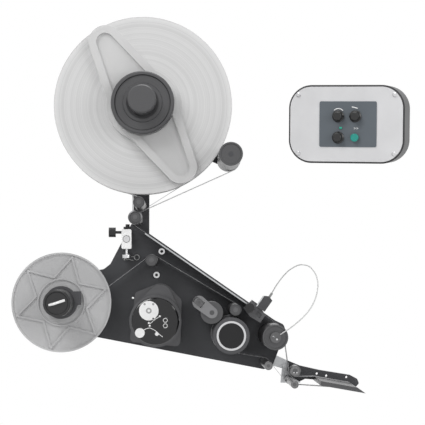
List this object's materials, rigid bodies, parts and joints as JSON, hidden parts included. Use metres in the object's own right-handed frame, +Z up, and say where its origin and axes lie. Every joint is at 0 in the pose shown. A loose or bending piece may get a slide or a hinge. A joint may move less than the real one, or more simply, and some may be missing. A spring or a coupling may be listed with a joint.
{
  "type": "bottle labelling machine",
  "caption": "Cantilevered label applicator head with supply reel, dancer, drive, rewind and peel blade, and a separate control box.",
  "frame": {"origin": "centre of the rear face of the round mounting flange", "axes": "+Z up, -Y towards the operator, +X towards the peel blade"},
  "size_m": [0.6893, 0.2393, 0.647],
  "materials": {
    "black_plate": "matt black anodised",
    "bright_steel": "bright",
    "aluminium": "satin",
    "black_satin": "satin black",
    "black_gloss": "gloss",
    "motor_grey": "satin",
    "belt_rubber": "matt",
    "label_paper": "smooth",
    "liner_paper": "glassine",
    "grey_metal": "matt",
    "blade_metal": "satin",
    "white_plastic": "smooth",
    "cable_black": "smooth",
    "box_grey": "satin",
    "brushed_face": "brushed",
    "panel_blue": "satin",
    "roller_metal": "turned",
    "core_card": "raw",
    "hub_grey": "satin",
    "drive_rubber": "matt",
    "disc_clear": "ribbed, smoke tinted",
    "knob_black": "knurled",
    "button_teal": "smooth"
  },
  "bodies": {
    "chassis": {"main_plate": "black_plate", "mounting_bracket": "black_plate", "reel_column": "black_plate", "cap_screws": "bright_steel", "roller_axles": "bright_steel", "bearing_housings": "aluminium", "motor_housing": "black_satin", "housing_cap": "black_gloss", "drive_motor": "motor_grey", "drive_belt": "belt_rubber", "rewind_belt": "belt_rubber", "web_tray": "aluminium", "label_web_run": "label_paper", "liner_run": "liner_paper", "web_dancer_run": "label_paper", "peel_bracket": "grey_metal", "peel_side_plate": "black_plate", "peel_blade": "blade_metal", "brake_block": "white_plastic", "brake_strap": "bright_steel", "brake_rod": "bright_steel", "sensor_fork": "black_satin", "sensor_body": "black_satin", "sensor_cable": "cable_black", "box_body": "box_grey", "box_face": "brushed_face", "box_panel": "panel_blue"},
    "dancer_arm_body": {"dancer_arm": "black_plate", "web_dancer_wrap": "label_paper"},
    "dancer_roller_body": {"dancer_roller": "roller_metal"},
    "supply_reel": {"supply_spindle": "aluminium", "roll_core": "core_card", "label_roll": "label_paper", "retaining_arm": "black_satin", "supply_hub": "hub_grey"},
    "upper_idler_body": {"upper_idler": "roller_metal"},
    "lower_idler_body": {"lower_idler": "roller_metal"},
    "upper_guide_body": {"upper_guide_roller": "roller_metal"},
    "lower_guide_body": {"lower_guide_roller": "roller_metal"},
    "end_roller_body": {"end_roller": "roller_metal"},
    "return_roller_body": {"return_roller": "roller_metal"},
    "peel_upper_body": {"peel_upper_roller": "roller_metal"},
    "peel_lower_body": {"peel_lower_roller": "roller_metal"},
    "drive_body": {"drive_roller": "drive_rubber", "drive_core": "bright_steel"},
    "motor_pulley_body": {"motor_pulley": "aluminium"},
    "rewind_pulley_body": {"rewind_pulley": "aluminium"},
    "rewind_reel": {"rewind_mandrel": "roller_metal", "wound_liner": "liner_paper", "rewind_disc": "disc_clear", "disc_clamp": "black_satin"},
    "pressure_lever_body": {"pressure_lever": "roller_metal"},
    "pressure_roller_body": {"pressure_roller": "roller_metal"},
    "brake_knob_body": {"brake_knob": "knob_black"},
    "brake_thumbnut_body": {"brake_thumbnut": "roller_metal"},
    "sensor_knob_body": {"sensor_knob": "knob_black"},
    "speed_knob_body": {"speed_knob": "knob_black"},
    "delay_knob_body": {"delay_knob": "knob_black"},
    "mode_knob_body": {"mode_knob": "knob_black"},
    "start_button_body": {"start_button": "button_teal"}
  },
  "joints": [
    {"name": "dancer_swing", "type": "hinge", "parent": "chassis", "child": "dancer_arm_body", "pos_m": [-0.069, -0.09, 0.3105], "axis": [0, 1, 0], "range_deg": [-20, 25], "stiffness_Nm_per_rad": 4, "springref_deg": -12.61, "deforming": ["web_dancer_run"]},
    {"name": "dancer_roller_spin", "type": "hinge", "parent": "dancer_arm_body", "child": "dancer_roller_body", "pos_m": [0.08009, -0.16, 0.21697], "axis": [0, 1, 0], "continuous": true},
    {"name": "supply_reel_turn", "type": "hinge", "parent": "chassis", "child": "supply_reel", "pos_m": [-0.069, -0.12, 0.3105], "axis": [0, 1, 0], "continuous": true},
    {"name": "rewind_reel_turn", "type": "hinge", "parent": "chassis", "child": "rewind_reel", "pos_m": [-0.2085, -0.12, -0.0315], "axis": [0, 1, 0], "continuous": true},
    {"name": "upper_idler_spin", "type": "hinge", "parent": "chassis", "child": "upper_idler_body", "pos_m": [-0.0732, -0.16, 0.1362], "axis": [0, 1, 0], "continuous": true},
    {"name": "lower_idler_spin", "type": "hinge", "parent": "chassis", "child": "lower_idler_body", "pos_m": [-0.0794, -0.16, 0.1114], "axis": [0, 1, 0], "continuous": true},
    {"name": "upper_guide_spin", "type": "hinge", "parent": "chassis", "child": "upper_guide_body", "pos_m": [-0.052, -0.16, 0.04], "axis": [0, 1, 0], "continuous": true},
    {"name": "lower_guide_spin", "type": "hinge", "parent": "chassis", "child": "lower_guide_body", "pos_m": [0.0875, -0.16, -0.0425], "axis": [0, 1, 0], "continuous": true},
    {"name": "end_roller_spin", "type": "hinge", "parent": "chassis", "child": "end_roller_body", "pos_m": [0.1535, -0.16, -0.088], "axis": [0, 1, 0], "continuous": true},
    {"name": "return_roller_spin", "type": "hinge", "parent": "chassis", "child": "return_roller_body", "pos_m": [0.142, -0.16, -0.135], "axis": [0, 1, 0], "continuous": true},
    {"name": "peel_upper_spin", "type": "hinge", "parent": "chassis", "child": "peel_upper_body", "pos_m": [0.1945, -0.11, -0.15], "axis": [0, 1, 0], "continuous": true},
    {"name": "peel_lower_spin", "type": "hinge", "parent": "chassis", "child": "peel_lower_body", "pos_m": [0.1855, -0.16, -0.166], "axis": [0, 1, 0], "continuous": true},
    {"name": "drive_roller_spin", "type": "hinge", "parent": "chassis", "child": "drive_body", "pos_m": [0.0805, -0.16, -0.0855], "axis": [0, 1, 0], "continuous": true},
    {"name": "motor_pulley_spin", "type": "hinge", "parent": "chassis", "child": "motor_pulley_body", "pos_m": [-0.0465, -0.064, -0.0635], "axis": [0, 1, 0], "continuous": true},
    {"name": "rewind_pulley_spin", "type": "hinge", "parent": "chassis", "child": "rewind_pulley_body", "pos_m": [-0.2085, -0.049, -0.0315], "axis": [0, 1, 0], "continuous": true},
    {"name": "pressure_lever_swing", "type": "hinge", "parent": "chassis", "child": "pressure_lever_body", "pos_m": [0.027, -0.16, -0.03], "axis": [0, 1, 0], "range_deg": [-25, 0], "stiffness_Nm_per_rad": 2, "springref_deg": 17.19},
    {"name": "pressure_roller_spin", "type": "hinge", "parent": "pressure_lever_body", "child": "pressure_roller_body", "pos_m": [0.04817, -0.16, -0.04697], "axis": [0, 1, 0], "continuous": true},
    {"name": "speed_knob_turn", "type": "hinge", "parent": "chassis", "child": "speed_knob_body", "pos_m": [0.26427, -0.17743, 0.2861], "axis": [0.2774, 0.9551, 0.1045], "range_deg": [-150, 150]},
    {"name": "delay_knob_turn", "type": "hinge", "parent": "chassis", "child": "delay_knob_body", "pos_m": [0.29271, -0.18558, 0.28514], "axis": [0.2774, 0.9551, 0.1045], "range_deg": [-150, 150]},
    {"name": "mode_knob_turn", "type": "hinge", "parent": "chassis", "child": "mode_knob_body", "pos_m": [0.26419, -0.17346, 0.25001], "axis": [0.2774, 0.9551, 0.1045], "range_deg": [-45, 45]},
    {"name": "start_button_press", "type": "slide", "parent": "chassis", "child": "start_button_body", "axis": [0.2774, 0.9551, 0.1045], "range_m": [0, 0.003], "stiffness_N_per_m": 300},
    {"name": "brake_knob_turn", "type": "hinge", "parent": "chassis", "child": "brake_knob_body", "pos_m": [-0.12, -0.104, 0.09], "axis": [1, 0, 0], "range_deg": [-180, 180]},
    {"name": "brake_thumbnut_turn", "type": "hinge", "parent": "chassis", "child": "brake_thumbnut_body", "pos_m": [-0.0975, -0.104, 0.05], "axis": [0, 0, 1], "range_deg": [-180, 180]},
    {"name": "sensor_knob_turn", "type": "hinge", "parent": "chassis", "child": "sensor_knob_body", "pos_m": [0.115, -0.14, -0.0405], "axis": [0, 1, 0], "range_deg": [-180, 180]}
  ],
  "couplings": [
    {"joint": "dancer_roller_spin", "follows": "drive_roller_spin", "ratio": 1.525},
    {"joint": "upper_idler_spin", "follows": "drive_roller_spin", "ratio": 3.1771},
    {"joint": "lower_idler_spin", "follows": "drive_roller_spin", "ratio": -3.1771},
    {"joint": "upper_guide_spin", "follows": "drive_roller_spin", "ratio": -3.1122},
    {"joint": "lower_guide_spin", "follows": "drive_roller_spin", "ratio": -3.1122},
    {"joint": "end_roller_spin", "follows": "drive_roller_spin", "ratio": 1.4252},
    {"joint": "return_roller_spin", "follows": "drive_roller_spin", "ratio": -4.2958},
    {"joint": "peel_upper_spin", "follows": "drive_roller_spin", "ratio": -3.2105},
    {"joint": "peel_lower_spin", "follows": "drive_roller_spin", "ratio": 4.6923},
    {"joint": "motor_pulley_spin", "follows": "drive_roller_spin", "ratio": 2},
    {"joint": "rewind_pulley_spin", "follows": "drive_roller_spin", "ratio": 0.5},
    {"joint": "pressure_roller_spin", "follows": "drive_roller_spin", "ratio": -1.6223}
  ]
}
